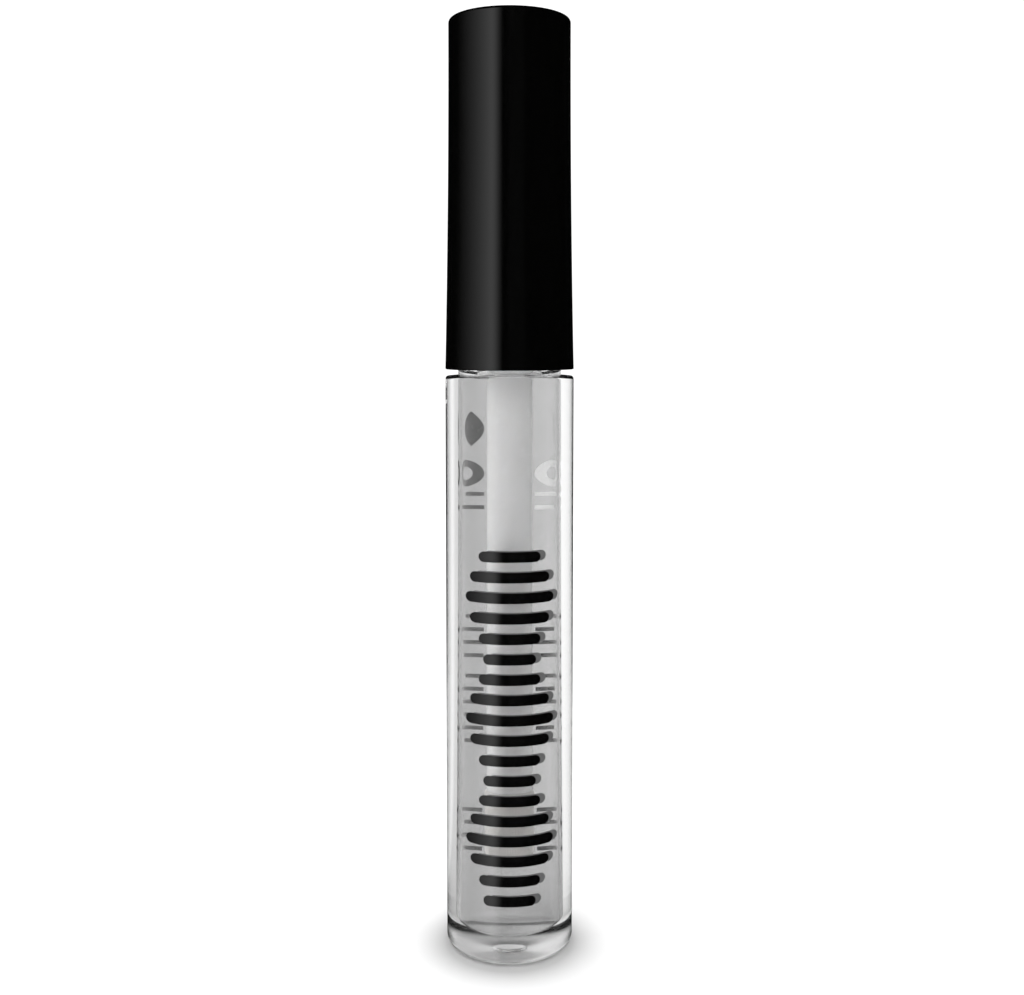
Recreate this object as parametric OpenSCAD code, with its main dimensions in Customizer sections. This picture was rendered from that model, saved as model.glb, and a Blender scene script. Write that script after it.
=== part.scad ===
// Lip gloss tube: a clear thick-walled vial with a threaded neck, a snap-in wiper,
// and a glossy screw cap whose inner liner carries the applicator wand.
// The axis is Z, the vial stands on z = 0, and its printed front faces -Y.

/* [Vial] */
// Height of the shoulder above the base
tube_h = 72.3; // [50:0.1:100]
// Diameter of the cavity that holds the gloss
cavity_d = 8.2; // [6.6:0.1:11]
// Thickness of the clear base under the cavity
base_t = 2.6; // [1.5:0.1:6]
// Radius of the outer edge of the base
base_edge_r = 1; // [0.4:0.1:1.4]
// Radius between the cavity's wall and its floor
floor_r = 0.7; // [0.3:0.1:1.5]
// Radius of the shoulder's outer edge
shoulder_edge_r = 0.4; // [0.1:0.1:0.8]
// Diameter of the moulding gate's recess under the base
gate_d = 3; // [1:0.5:5]
// Depth of the gate's recess
gate_depth = 0.3; // [0.1:0.1:0.8]

/* [Neck] */
// Height of the neck above the shoulder
neck_h = 11.5; // [9:0.1:15]
// Wall of the neck
neck_wall = 1; // [0.8:0.1:1.6]
// Height of the plain collar at the foot of the neck
collar_h = 1.6; // [0.8:0.1:2]
// How far the collar stands out from the neck
collar_step = 1.3; // [0.9:0.1:1.35]
// Rise of the thread in one turn
thread_pitch = 2.6; // [2.1:0.1:3.1]
// Number of turns of thread
thread_turns = 1.5; // [1:0.25:1.75]
// How far the neck's thread stands out
thread_depth = 0.65; // [0.5:0.05:0.8]

/* [Wiper] */
// Thickness of the flange that sits on the neck's rim
flange_t = 0.8; // [0.5:0.1:1.2]
// How far the wiper reaches down into the neck
wiper_l = 11.4; // [9:0.1:13]
// Wall of the wiper's plug
wiper_wall = 0.8; // [0.5:0.1:1]
// How far the snap bead stands out
bead_h = 0.15; // [0.1:0.05:0.25]

/* [Cap] */
// Height of the cap
cap_h = 42.7; // [34:0.1:55]
// Wall of the cap shell where it grips the liner
cap_wall = 0.55; // [0.5:0.05:1]
// How much wider the cap's radius is at its mouth than at its top
cap_flare = 0.5; // [0.2:0.05:0.8]
// Thickness of the cap's top
cap_top_t = 1.2; // [0.8:0.1:2]
// Radius of the cap's top edge
cap_edge_r = 0.45; // [0.2:0.05:0.55]
// Gap between the cap's mouth and the vial's shoulder
mouth_gap = 0.8; // [0.3:0.1:1.2]

/* [Liner] */
// Wall of the liner's skirt behind the thread
liner_wall = 0.6; // [0.5:0.05:0.9]
// Thickness of the liner's partition over the neck
partition_t = 1.2; // [0.8:0.1:2]
// Height of the liner's crown above the partition
crown_h = 13; // [10:0.5:16]
// Wall of the boss that holds the stem
boss_wall = 1.3; // [0.8:0.1:2]
// Height of the boss above the partition
boss_h = 7; // [5:0.5:9]
// Number of grip ribs around the crown
rib_count = 12; // [8:1:20]
// How far the grip ribs stand out
rib_h = 0.15; // [0.1:0.05:0.3]

/* [Wand] */
// Diameter of the stem
stem_d = 3.9; // [3.2:0.1:4.7]
// Thickness of the stem's stop flange
stop_t = 0.5; // [0.4:0.1:0.6]
// How far the flocked tip stands out beyond the stem
tip_step = 0.15; // [0:0.05:0.2]
// Length of the flocked tip
tip_l = 9.6; // [8:0.2:14]
// Thickness of the flock
flock_t = 0.35; // [0.2:0.05:0.5]
// Slant of the tip's flat face from the axis
slant = 16; // [10:1:20]
// Diameter of the spigot that plugs the tip into the stem
spigot_d = 2; // [1.5:0.1:2.4]
// Length of the spigot
spigot_l = 6; // [4:0.5:8]
// Height of the tip's end above the cavity's floor
tip_gap = 8; // [4:0.1:16]

/* [Print] */
// Thickness of the ink
ink_t = 0.04; // [0.03:0.01:0.08]
// Width of the front print
motif_w = 10.6; // [8:0.1:11]
// Stroke of one bar in the front print
stroke = 1.3; // [0.8:0.1:1.6]
// Distance between the bars of the front print
bar_pitch = 2.5; // [2:0.1:3.5]
// Number of bars in one swell of the front print
bars_per_swell = 6; // [4:1:9]
// Height where the front print starts above the base
print_z = 7.6; // [6:0.1:12]
// Plain height left between the front print and the shoulder
print_top_margin = 19.4; // [10:0.1:25]
// Width of the rear print
rear_w = 10.2; // [8:0.1:11]
// Clear width between the two columns of the rear print
gutter_w = 3.2; // [2:0.1:4]
// Height of one line of small marks on the rear
line_h = 0.5; // [0.4:0.1:1]
// Distance between the lines of small marks
line_pitch = 1.7; // [1.4:0.1:2.4]
// Outer diameter of the rings on the rear
ring_d = 3.4; // [2:0.1:3.5]
// Depth of the rear print's first mark below the shoulder
rear_top_margin = 5; // [3:0.5:10]

/* [Clearances] */
// Between the crests of the two threads and whatever they pass
thread_clear = 0.1; // [0.05:0.01:0.2]
// Around the wiper's plug in the neck
plug_clear = 0.02; // [0.01:0.01:0.05]
// Between the wand and the wiper's lip
lip_clear = 0.05; // [0.03:0.01:0.1]
// Between parts that stop against each other
stop_clear = 0.1; // [0.05:0.01:0.2]
// Around the wand in the gloss
gloss_clear = 0.1; // [0.05:0.01:0.3]

/* [Hidden] */
$fn = 96;
eps = 0.01;

// The stack of radii, from the cavity outwards.
cavity_r = cavity_d / 2;
neck_r = cavity_r + neck_wall;
collar_r = neck_r + collar_step;
thread_r = neck_r + thread_depth;
liner_crest_r = thread_r + thread_clear;
root_depth = 0.35;
liner_bore_r = liner_crest_r + root_depth;
liner_r = liner_bore_r + liner_wall;
cap_bore_r = liner_r + rib_h;
cap_top_r = cap_bore_r + cap_wall;
tube_r = cap_top_r + cap_flare;

// The stack of heights, from the base up.
rim_z = tube_h + neck_h;
flange_top_z = rim_z + flange_t;
mouth_z = tube_h + mouth_gap;
cap_top_z = mouth_z + cap_h;
liner_foot_z = tube_h + collar_h + 3 * stop_clear;
partition_z = flange_top_z + stop_clear;
crown_foot_z = partition_z + partition_t;
liner_top_z = crown_foot_z + crown_h;
boss_top_z = crown_foot_z + boss_h;

// The wand.
stem_r = stem_d / 2;
tip_r = stem_r + tip_step;
lip_r = tip_r + lip_clear;
tip_end_z = base_t + tip_gap;
stem_foot_z = tip_end_z + tip_l;
barb_h = 1.6;
barb_step = 0.3;

// The wiper.
wiper_r = cavity_r - plug_clear;
wiper_bore_r = wiper_r - wiper_wall;
wiper_foot_z = rim_z - wiper_l;
wiper_nose_l = 3;
nose_wall = 0.65;
bead_z = rim_z - 4.5;

// The thread's ridges.
ridge_base = 1.3;
ridge_crest = 0.5;
ridge_sink = 0.12;
ridge_steps = 36;
thread_z = tube_h + collar_h + 2.2;

// The rear print's paragraphs: depth below the shoulder, and number of lines.
paragraphs = [[15.8, 2], [31.6, 4], [39.4, 6], [57, 4]];

// ---------- shared shapes ----------

// Points of an arc about (x, y), from angle a to angle b.
function arc(x, y, r, a, b, n = 8) =
    [for (i = [0 : n]) let (t = a + (b - a) * i / n) [x + r * cos(t), y + r * sin(t)]];

// One ring of a ridge: its section at turn angle t, shrunk by s towards the root.
function ridge_ring(t, z, root, crest, s) =
    let (top = root + (crest - root) * s)
    [for (p = [[root, -ridge_base / 2], [top, -ridge_crest / 2],
               [top, ridge_crest / 2], [root, ridge_base / 2]])
        [p[0] * cos(t), p[0] * sin(t), z + p[1]]];

// A helical ridge whose section runs from the root radius to the crest radius,
// fading in and out over its first and last sixth of a turn.
module ridge(root, crest, z, turns) {
    n = round(ridge_steps * turns);
    fade = ridge_steps / 6;
    rings = [for (i = [0 : n])
        ridge_ring(360 * i / ridge_steps, z + thread_pitch * i / ridge_steps, root, crest,
                   min(1, 0.25 + i / fade, 0.25 + (n - i) / fade))];
    points = [for (r = rings) each r];
    side = [for (i = [0 : n - 1], k = [0 : 3])
        let (a = 4 * i + k, b = 4 * i + (k + 1) % 4)
        each [[a, a + 4, b], [b, a + 4, b + 4]]];
    ends = [[0, 1, 2], [0, 2, 3], [4 * n + 2, 4 * n + 1, 4 * n], [4 * n + 3, 4 * n + 2, 4 * n]];
    flip = crest > root;
    faces = concat(side, ends);
    polyhedron(points, flip ? [for (f = faces) [f[2], f[1], f[0]]] : faces);
}

// A bar with round ends, centred.
module pill(w, h) {
    square([w - h, h], center = true);
    for (s = [-1, 1]) translate([s * (w - h) / 2, 0]) circle(d = h);
}

// A flat drawing wrapped on the vial as a film of ink: side is -1 for the front, 1 for the back.
module ink(side) {
    intersection() {
        difference() {
            translate([0, 0, base_edge_r]) cylinder(r = tube_r + ink_t, h = tube_h - 2 * base_edge_r);
            cylinder(r = tube_r, h = tube_h);
        }
        rotate([90, 0, 0]) scale([1, 1, -side])
            linear_extrude(2 * tube_r) children();
    }
}

// ---------- the vial ----------

module tube_body() {
    color("whitesmoke", 0.35) {
        difference() {
            rotate_extrude() polygon(concat(
                [[0, 0]],
                arc(tube_r - base_edge_r, base_edge_r, base_edge_r, -90, 0),
                arc(tube_r - shoulder_edge_r, tube_h - shoulder_edge_r, shoulder_edge_r, 0, 90),
                [[collar_r, tube_h], [collar_r, tube_h + collar_h],
                 [neck_r, tube_h + collar_h], [neck_r, rim_z], [0, rim_z]]));
            rotate_extrude() polygon(concat(
                [[0, rim_z + eps], [0, base_t]],
                arc(cavity_r - floor_r, base_t + floor_r, floor_r, -90, 0),
                [[cavity_r, rim_z + eps]]));
            translate([0, 0, bead_z - bead_h * 3]) cylinder(r = cavity_r + bead_h, h = bead_h * 6);
            translate([0, 0, -eps]) cylinder(d = gate_d, h = gate_depth + eps);
        }
        ridge(neck_r - ridge_sink, thread_r, thread_z, thread_turns);
    }
}

// The gloss, with a channel that the wand slides in.
module gloss_fill() {
    channel_r = tip_r + gloss_clear;
    color("mistyrose", 0.5) difference() {
        rotate_extrude() polygon(concat(
            [[0, base_t]],
            arc(cavity_r - floor_r, base_t + floor_r, floor_r, -90, 0),
            [[cavity_r, wiper_foot_z - stop_clear], [0, wiper_foot_z - stop_clear]]));
        translate([0, 0, tip_end_z + tip_r]) cylinder(r = channel_r, h = tube_h);
        translate([0, 0, tip_end_z + tip_r]) sphere(r = channel_r);
    }
}

// A column of round-ended bars whose lengths swell and shrink.
module front_print() {
    span = tube_h - print_top_margin - print_z - stroke;
    bars = floor(span / bar_pitch) + 1;
    color("black") ink(-1) for (i = [0 : bars - 1])
        translate([0, print_z + stroke / 2 + i * bar_pitch])
            pill(motif_w * (0.8 - 0.2 * cos(360 * i / bars_per_swell)), stroke);
}

// Two columns of marks with a clear gutter between them: a leaf on the left, a ring in each,
// and paragraphs of short marks that stand for small print.
module rear_print() {
    leaf_l = 4.4;
    leaf_w = 2;
    leaf_r = (leaf_l * leaf_l + leaf_w * leaf_w) / (4 * leaf_w);
    column_w = (rear_w - gutter_w) / 2;
    leaf_x = gutter_w / 2 + leaf_w / 2;
    ring_z = tube_h - rear_top_margin - leaf_l - ring_d / 2 - 1.8;
    color("dimgray") ink(1) {
        translate([-leaf_x, tube_h - rear_top_margin - leaf_l / 2]) intersection() {
            translate([leaf_w / 2 - leaf_r, 0]) circle(r = leaf_r);
            translate([leaf_r - leaf_w / 2, 0]) circle(r = leaf_r);
        }
        for (s = [-1, 1]) translate([s * (gutter_w + ring_d) / 2, ring_z]) difference() {
            circle(d = ring_d);
            circle(d = ring_d * 0.5);
        }
        for (p = paragraphs, k = [0 : p[1] - 1], s = [-1, 1]) {
            z = tube_h - p[0] - k * line_pitch;
            mark_w = column_w * (0.75 + 0.25 * sin(137 * (k + p[0]) + 90 * s));
            if (z > print_z)
                translate([s * (gutter_w + mark_w) / 2 - mark_w / 2, z]) square([mark_w, line_h]);
        }
    }
}

// ---------- the wiper ----------

module wiper() {
    nose_top_z = wiper_foot_z + wiper_nose_l;
    lip_z = wiper_foot_z + 0.4;
    color("white", 0.7) rotate_extrude() polygon(concat(
        [[wiper_bore_r, flange_top_z], [neck_r, flange_top_z], [neck_r, rim_z], [wiper_r, rim_z],
         [wiper_r, bead_z + 2 * bead_h], [wiper_r + bead_h, bead_z + bead_h / 2],
         [wiper_r + bead_h, bead_z - bead_h / 2], [wiper_r, bead_z - 2 * bead_h],
         [wiper_r, nose_top_z], [lip_r + nose_wall, wiper_foot_z], [lip_r, wiper_foot_z],
         [lip_r, lip_z], [wiper_bore_r, nose_top_z + 2]]));
}

// ---------- the cap ----------

// The cap's outer radius at a share u of the way from its top to its mouth.
function cap_r(u) = cap_top_r + cap_flare * u * u;

module cap_shell() {
    n = 16;
    flank = [for (i = [0 : n]) let (u = 1 - i * (1 - cap_edge_r / cap_h) / n)
        [cap_r(u), cap_top_z - u * cap_h]];
    color([0.02, 0.02, 0.02]) rotate_extrude() polygon(concat(
        [[cap_bore_r, mouth_z]],
        flank,
        arc(cap_top_r - cap_edge_r, cap_top_z - cap_edge_r, cap_edge_r, 0, 90),
        [[0, cap_top_z], [0, cap_top_z - cap_top_t],
         [cap_bore_r - 2 * rib_h - 0.5, cap_top_z - cap_top_t],
         [cap_bore_r - 2 * rib_h - 0.3, liner_top_z], [cap_bore_r, liner_top_z]]));
}

// The liner: a threaded skirt, a partition that closes on the wiper, and a crown that the
// shell grips, with the boss that holds the stem.
module cap_liner() {
    socket_r = stem_r;
    crown_bore_r = liner_bore_r;
    color("gainsboro") {
        difference() {
            union() {
                translate([0, 0, liner_foot_z]) cylinder(r = liner_r, h = liner_top_z - liner_foot_z);
                intersection() {
                    translate([0, 0, crown_foot_z]) cylinder(r = cap_bore_r, h = crown_h);
                    for (i = [0 : rib_count - 1]) rotate(i * 360 / rib_count)
                        translate([liner_r - 0.3, -rib_h * 2, crown_foot_z]) cube([1, rib_h * 4, crown_h]);
                }
            }
            translate([0, 0, liner_foot_z - eps])
                cylinder(r = liner_bore_r, h = partition_z - liner_foot_z + eps);
            difference() {
                translate([0, 0, crown_foot_z]) cylinder(r = crown_bore_r, h = crown_h + eps);
                cylinder(r = socket_r + boss_wall, h = boss_top_z);
            }
            cylinder(r = socket_r, h = liner_top_z);
        }
        ridge(liner_bore_r + ridge_sink, liner_crest_r, thread_z + thread_pitch / 2, thread_turns);
    }
}

// ---------- the wand ----------

// The stem, with a stop flange under the partition and a barb over the boss.
module wand_stem() {
    stop_r = wiper_bore_r - 3 * lip_clear;
    stop_z = partition_z - stop_t;
    color("white") difference() {
        rotate_extrude() polygon([
            [0, stem_foot_z], [stem_r, stem_foot_z], [stem_r, stop_z], [stop_r, stop_z],
            [stop_r, partition_z], [stem_r, partition_z], [stem_r, boss_top_z],
            [stem_r + barb_step, boss_top_z], [stem_r - barb_step, boss_top_z + barb_h],
            [0, boss_top_z + barb_h]]);
        translate([0, 0, stem_foot_z - eps]) cylinder(d = spigot_d, h = spigot_l + eps);
    }
}

// A round-ended finger of radius r whose front is cut to a slanted flat, in by the amount inset.
module finger(r, inset) {
    difference() {
        union() {
            translate([0, 0, tip_end_z + inset + r]) cylinder(r = r, h = tip_l - inset - r);
            translate([0, 0, tip_end_z + inset + r]) sphere(r = r);
        }
        translate([0, -r * 0.15 + inset * 0.94, tip_end_z]) rotate([slant, 0, 0])
            translate([-2 * r, -4 * r, -tip_l]) cube([4 * r, 4 * r, 3 * tip_l]);
    }
}

module tip_core() {
    color("white") {
        finger(tip_r - flock_t, flock_t);
        translate([0, 0, stem_foot_z - eps]) cylinder(d = spigot_d, h = spigot_l + eps);
    }
}

module tip_flock() {
    color("snow") difference() {
        finger(tip_r, 0);
        finger(tip_r - flock_t, flock_t);
        translate([0, 0, stem_foot_z - eps]) cylinder(r = tip_r, h = 1);
    }
}

tube_body();
gloss_fill();
front_print();
rear_print();
wiper();
cap_shell();
cap_liner();
wand_stem();
tip_core();
tip_flock();
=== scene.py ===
# %% [markdown]
# # A lip gloss tube
# The object is a clear round vial with a black screw cap. The cap holds a stem with a soft tip,
# which stands in the gloss. The parts of the design come in as a fixed frame, and every piece here
# is drawn around them, in metres, with the vial standing on z = 0 and its printed front facing -Y.

# %% Load the frame
import math

import bmesh
import bpy
from mathutils import Matrix, Vector


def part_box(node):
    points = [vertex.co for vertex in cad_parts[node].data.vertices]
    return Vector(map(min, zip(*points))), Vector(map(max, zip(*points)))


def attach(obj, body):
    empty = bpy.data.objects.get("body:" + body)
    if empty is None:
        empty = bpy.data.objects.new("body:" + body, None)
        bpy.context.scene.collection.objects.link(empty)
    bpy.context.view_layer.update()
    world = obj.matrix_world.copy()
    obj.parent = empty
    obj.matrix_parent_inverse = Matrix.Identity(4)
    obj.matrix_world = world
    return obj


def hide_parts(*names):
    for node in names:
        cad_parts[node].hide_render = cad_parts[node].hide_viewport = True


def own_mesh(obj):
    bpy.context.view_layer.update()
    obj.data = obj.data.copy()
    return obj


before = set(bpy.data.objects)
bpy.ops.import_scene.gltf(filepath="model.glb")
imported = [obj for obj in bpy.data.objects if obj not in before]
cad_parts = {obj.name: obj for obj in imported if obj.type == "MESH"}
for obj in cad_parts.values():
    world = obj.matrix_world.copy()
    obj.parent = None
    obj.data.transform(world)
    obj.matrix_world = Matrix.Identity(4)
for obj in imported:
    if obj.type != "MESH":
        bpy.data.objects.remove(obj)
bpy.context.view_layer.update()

MM = 0.001

# %% [markdown]
# ## Sizes
# Lengths and widths come from the boxes of the design's parts, so the pieces drawn here follow
# them. Walls, edge roundings and the layout of the prints, which a box can't tell, are given one
# by one.

# %% Read the sizes
tube_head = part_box("tube_body")[1]
gloss_foot, gloss_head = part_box("gloss_fill")
wiper_foot, wiper_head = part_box("wiper")
cap_foot, cap_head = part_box("cap_shell")
liner_foot, liner_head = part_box("cap_liner")
stem_foot, stem_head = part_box("wand_stem")
tip_foot, tip_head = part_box("tip_flock")

TUBE_R = tube_head.x
CAVITY_R = gloss_head.x
FLOOR_Z = gloss_foot.z
RIM_Z = tube_head.z
NECK_R = wiper_head.x
SHOULDER_Z = cap_foot.z - 0.8 * MM
COLLAR_R = NECK_R + 1.3 * MM
COLLAR_Z = SHOULDER_Z + 1.6 * MM
CAP_R = cap_head.x
TIP_R = tip_head.x
STEM_R = TIP_R - 0.15 * MM
BEAD = 0.15 * MM
BEAD_Z = RIM_Z - 4.5 * MM
print("vial radius, cavity radius, shoulder height, mm:",
      [round(size / MM, 2) for size in (TUBE_R, CAVITY_R, SHOULDER_Z)])

# %% [markdown]
# ## Modelling tools
# Nearly every piece of a cosmetics pack is turned: round about one axis. Such a piece starts as
# a circle, and each further station of its outline is that ring extruded to a new height and
# scaled to a new radius, as on a lathe. A station of radius 0 closes the end.

# %% Start and end work on a piece
ROUND = 192
AXIS = (0, 0, 0)
TINY = 0.002 * MM
SMOOTH_DEG = 30

def alone(piece):
    """Selects one piece and nothing else."""
    if bpy.context.object and bpy.context.object.mode != "OBJECT":
        bpy.ops.object.mode_set(mode="OBJECT")
    bpy.ops.object.select_all(action="DESELECT")
    piece.select_set(True)
    bpy.context.view_layer.objects.active = piece

def edit(piece):
    """Opens a piece with nothing selected in it."""
    alone(piece)
    bpy.ops.object.mode_set(mode="EDIT")
    bpy.ops.mesh.select_mode(type="VERT")
    bpy.ops.mesh.select_all(action="DESELECT")

def pick(piece, test, kind="EDGE"):
    """Selects the vertices of the open piece that pass a test of their place, and what they bound."""
    bpy.ops.mesh.select_mode(type="VERT")
    bpy.ops.mesh.select_all(action="DESELECT")
    mesh = bmesh.from_edit_mesh(piece.data)
    for vertex in mesh.verts:
        if test(vertex.co):
            vertex.select_set(True)
    mesh.select_flush(True)
    bmesh.update_edit_mesh(piece.data)
    bpy.ops.mesh.select_mode(type=kind)

def close_up(piece):
    """Merges doubles, turns the faces outwards and smooths all but the sharp edges."""
    edit(piece)
    bpy.ops.mesh.select_all(action="SELECT")
    bpy.ops.mesh.remove_doubles(threshold=1e-7)
    bpy.ops.mesh.normals_make_consistent(inside=False)
    alone(piece)
    bpy.ops.object.shade_smooth_by_angle(angle=math.radians(SMOOTH_DEG))
    return piece

# %% Turn a piece on the lathe
def ring_at(piece, r, z):
    """Selects the ring of the open piece that lies at a radius and a height."""
    pick(piece, lambda place: abs(place.xy.length - r) < TINY and abs(place.z - z) < TINY)

def same(a, b):
    """Whether two stations are one."""
    return a is not None and math.dist(a, b) < TINY

def turned(name, outline, steps=ROUND):
    """A closed round piece from the (radius, height) stations of its outline."""
    stations = [b for a, b in zip([None] + outline, outline) if b[0] > 0 and not same(a, b)]
    first_r, first_z = stations[0]
    bpy.ops.object.select_all(action="DESELECT")
    bpy.ops.mesh.primitive_circle_add(vertices=steps, radius=first_r, location=AXIS)
    piece = bpy.context.object
    piece.name = name
    edit(piece)
    bpy.ops.mesh.select_all(action="SELECT")
    bpy.ops.transform.translate(value=(0, 0, first_z))
    for (r0, z0), (r1, z1) in zip(stations, stations[1:]):
        bpy.ops.mesh.extrude_region_move(TRANSFORM_OT_translate={"value": (0, 0, z1 - z0)})
        bpy.ops.transform.resize(value=(r1 / r0, r1 / r0, 1), center_override=AXIS)
    if outline[0][0] > 0 and outline[-1][0] > 0:
        bpy.ops.mesh.select_all(action="SELECT")
        bpy.ops.mesh.region_to_loop()
        bpy.ops.mesh.bridge_edge_loops()
    for end, (r, z) in ((outline[0], stations[0]), (outline[-1], stations[-1])):
        if end[0] == 0:
            ring_at(piece, r, z)
            bpy.ops.mesh.extrude_region_move()
            bpy.ops.mesh.merge(type="CENTER")
            bpy.ops.transform.translate(value=(0, 0, end[1] - z))
    return close_up(piece)

def arc(r, z, radius, start_deg, end_deg, steps=8):
    """Stations along a rounded edge about the point (r, z)."""
    turns = [math.radians(start_deg + (end_deg - start_deg) * i / steps) for i in range(steps + 1)]
    return [(r + radius * math.cos(turn), z + radius * math.sin(turn)) for turn in turns]

def placed(piece, body, slot, finish, *nodes):
    """Sets what a piece moves with, what it stands for, and its finish."""
    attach(piece, body)
    if nodes:
        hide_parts(*nodes)
    piece.data.materials.clear()
    piece.data.materials.append(finish)
    print(piece.name, len(piece.data.polygons), "faces")
    return piece

# %% [markdown]
# ## Shader tools
# A finish is a small graph of nodes. So that its maths can be read as maths, a socket is wrapped
# in a class that knows + - * / ** > and <, and each use of an operator adds one Math node.

# %% Sockets that can be added and multiplied
class Wire:
    """A node's output that can be used in an expression."""

    def __init__(self, finish, socket):
        self.finish = finish
        self.socket = socket

    def maths(self, operation, first, second):
        """Adds one Math node."""
        return self.finish.node("ShaderNodeMath", {"operation": operation}, {0: first, 1: second})

    def __add__(self, other):
        return self.maths("ADD", self, other)

    def __radd__(self, other):
        return self.maths("ADD", other, self)

    def __sub__(self, other):
        return self.maths("SUBTRACT", self, other)

    def __rsub__(self, other):
        return self.maths("SUBTRACT", other, self)

    def __mul__(self, other):
        return self.maths("MULTIPLY", self, other)

    def __rmul__(self, other):
        return self.maths("MULTIPLY", other, self)

    def __truediv__(self, other):
        return self.maths("DIVIDE", self, other)

    def __pow__(self, other):
        return self.maths("POWER", self, other)

    def __gt__(self, other):
        return self.maths("GREATER_THAN", self, other)

    def __lt__(self, other):
        return self.maths("LESS_THAN", self, other)

class Finish:
    """The node graph of a material or of the world."""

    def __init__(self, owner):
        owner.use_nodes = True
        self.owner = owner
        self.tree = owner.node_tree
        self.tree.nodes.clear()

    def node(self, kind, settings=None, values=None, output=0):
        """Adds a node, sets it up, feeds its sockets, and gives back one of its outputs."""
        made = self.tree.nodes.new(kind)
        for name, setting in (settings or {}).items():
            if name == "stops":
                ramp = made.color_ramp
                ramp.elements[0].position, ramp.elements[0].color = setting[0]
                ramp.elements[1].position, ramp.elements[1].color = setting[-1]
                for place, colour in setting[1:-1]:
                    ramp.elements.new(place).color = colour
            else:
                setattr(made, name, setting)
        for socket, value in (values or {}).items():
            if isinstance(value, Wire):
                self.tree.links.new(value.socket, made.inputs[socket])
            else:
                made.inputs[socket].default_value = value
        return Wire(self, made.outputs[output]) if made.outputs else None

    def place(self):
        """The point being shaded, in metres."""
        return self.node("ShaderNodeTexCoord", output="Object")

    def noise(self, scale, detail=3.0, roughness=0.5, stretch=(1, 1, 1)):
        """Soft noise from 0 to 1 whose grains are about 1/scale metres, stretched by axis."""
        laid = self.node("ShaderNodeMapping", values={"Vector": self.place(), "Scale": stretch})
        return self.node("ShaderNodeTexNoise", values={
            "Vector": laid, "Scale": scale, "Detail": detail, "Roughness": roughness})

    def spread(self, value, low, high, out_low, out_high):
        """Moves the range low..high of a value to out_low..out_high, and clamps it."""
        return self.node("ShaderNodeMapRange", values={
            "Value": value, "From Min": low, "From Max": high,
            "To Min": out_low, "To Max": out_high})

    def vary(self, noise, low, high):
        """A value that wanders between two levels with a noise, which seldom leaves 0.3 to 0.7."""
        return self.spread(noise, 0.3, 0.7, low, high)

    def clouded(self, noise, first, second):
        """A colour that wanders between two colours with a noise."""
        return self.blend(self.vary(noise, 0.0, 1.0), first, second)

    def axis(self, index):
        """One coordinate of the point being shaded: 0, 1 or 2."""
        return self.node("ShaderNodeSeparateXYZ", values={0: self.place()}, output=index)

    def ease(self, value, low, high):
        """0 below low, 1 above high, and a soft rise between them."""
        return self.node("ShaderNodeMapRange", {"interpolation_type": "SMOOTHSTEP"}, {
            "Value": value, "From Min": low, "From Max": high})

    def turn(self, x, y):
        """Degrees from the front (-Y) towards the left (-X), as seen from above."""
        return x.maths("ARCTAN2", 0 - x, 0 - y) * (180 / math.pi)

    def blend(self, share, first, second):
        """A colour between two colours."""
        return self.node("ShaderNodeMix", {"data_type": "RGBA"},
                         {"Factor": share, 6: first, 7: second}, output=2)

    def bump(self, height, depth):
        """A surface normal from a height of 0 to 1, which stands for a real depth in metres."""
        return self.node("ShaderNodeBump", values={
            "Height": height, "Distance": depth, "Strength": 1.0})

    def surface(self, **sockets):
        """Ends the graph in one Principled shader. A socket is named with _ for its spaces."""
        values = {name.replace("_", " "): value for name, value in sockets.items()}
        shader = self.node("ShaderNodeBsdfPrincipled", values=values)
        self.node("ShaderNodeOutputMaterial", values={"Surface": shader})
        return self.owner

def new_finish(name):
    """An empty material with a name."""
    return Finish(bpy.data.materials.new(name))

def grey(level):
    """An opaque grey."""
    return (level, level, level, 1.0)

# %% [markdown]
# ## Finishes
# The vial is a clear polyester that bends light strongly, so its look is almost all refraction.
# It only gets a trace of waviness, as a moulded wall has, a few fine scuffs in its gloss, and a
# satin underside, as a mould can leave round its gate.

# %% Clear wall
UNDERSIDE_Z = 0.32 * MM

def clear_wall():
    f = new_finish("clear_wall")
    scuffs = f.noise(900, detail=6, roughness=0.7, stretch=(1, 1, 0.12))
    waves = f.noise(160, detail=1, stretch=(1, 1, 0.3))
    underside = f.axis(2) < UNDERSIDE_Z
    return f.surface(
        Base_Color=grey(0.985), IOR=1.57, Transmission_Weight=1.0,
        Roughness=f.spread(scuffs, 0.55, 0.8, 0.0, 0.05) + underside * 0.22,
        Normal=f.bump(waves, 0.002 * MM))

# %% [markdown]
# The gloss is a thick clear oil with a little haze. Nearly all of the light goes through it, and
# faint clouds of two close greys keep it from looking like plain glass.

# %% Gloss
def gloss_finish():
    f = new_finish("gloss")
    clouds = f.noise(120, detail=4, stretch=(1, 1, 0.4))
    return f.surface(
        Base_Color=f.clouded(clouds, grey(0.60), grey(0.64)),
        IOR=1.47, Transmission_Weight=0.98, Roughness=0.02,
        Specular_Tint=grey(0.0))

# %% [markdown]
# A screen print is opaque and smooth, so each ink is one tone that hardly varies, with a fine grain
# in its film. The front is black. The back is grey, apart from its marks on one side, which are
# painted white and made to glow: a painted highlight and a painted glow.

# %% Inks
RINGS_FOOT_Z = 54 * MM
RINGS_HEAD_Z = 62 * MM

def black_ink():
    f = new_finish("front_ink")
    film = f.noise(1500, detail=3)
    return f.surface(
        Base_Color=f.clouded(film, grey(0.001), grey(0.003)),
        Roughness=f.vary(film, 0.07, 0.12), IOR=1.5,
        Normal=f.bump(film, 0.003 * MM))

# Grey ink for the painted shadow beside each black mark.
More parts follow.
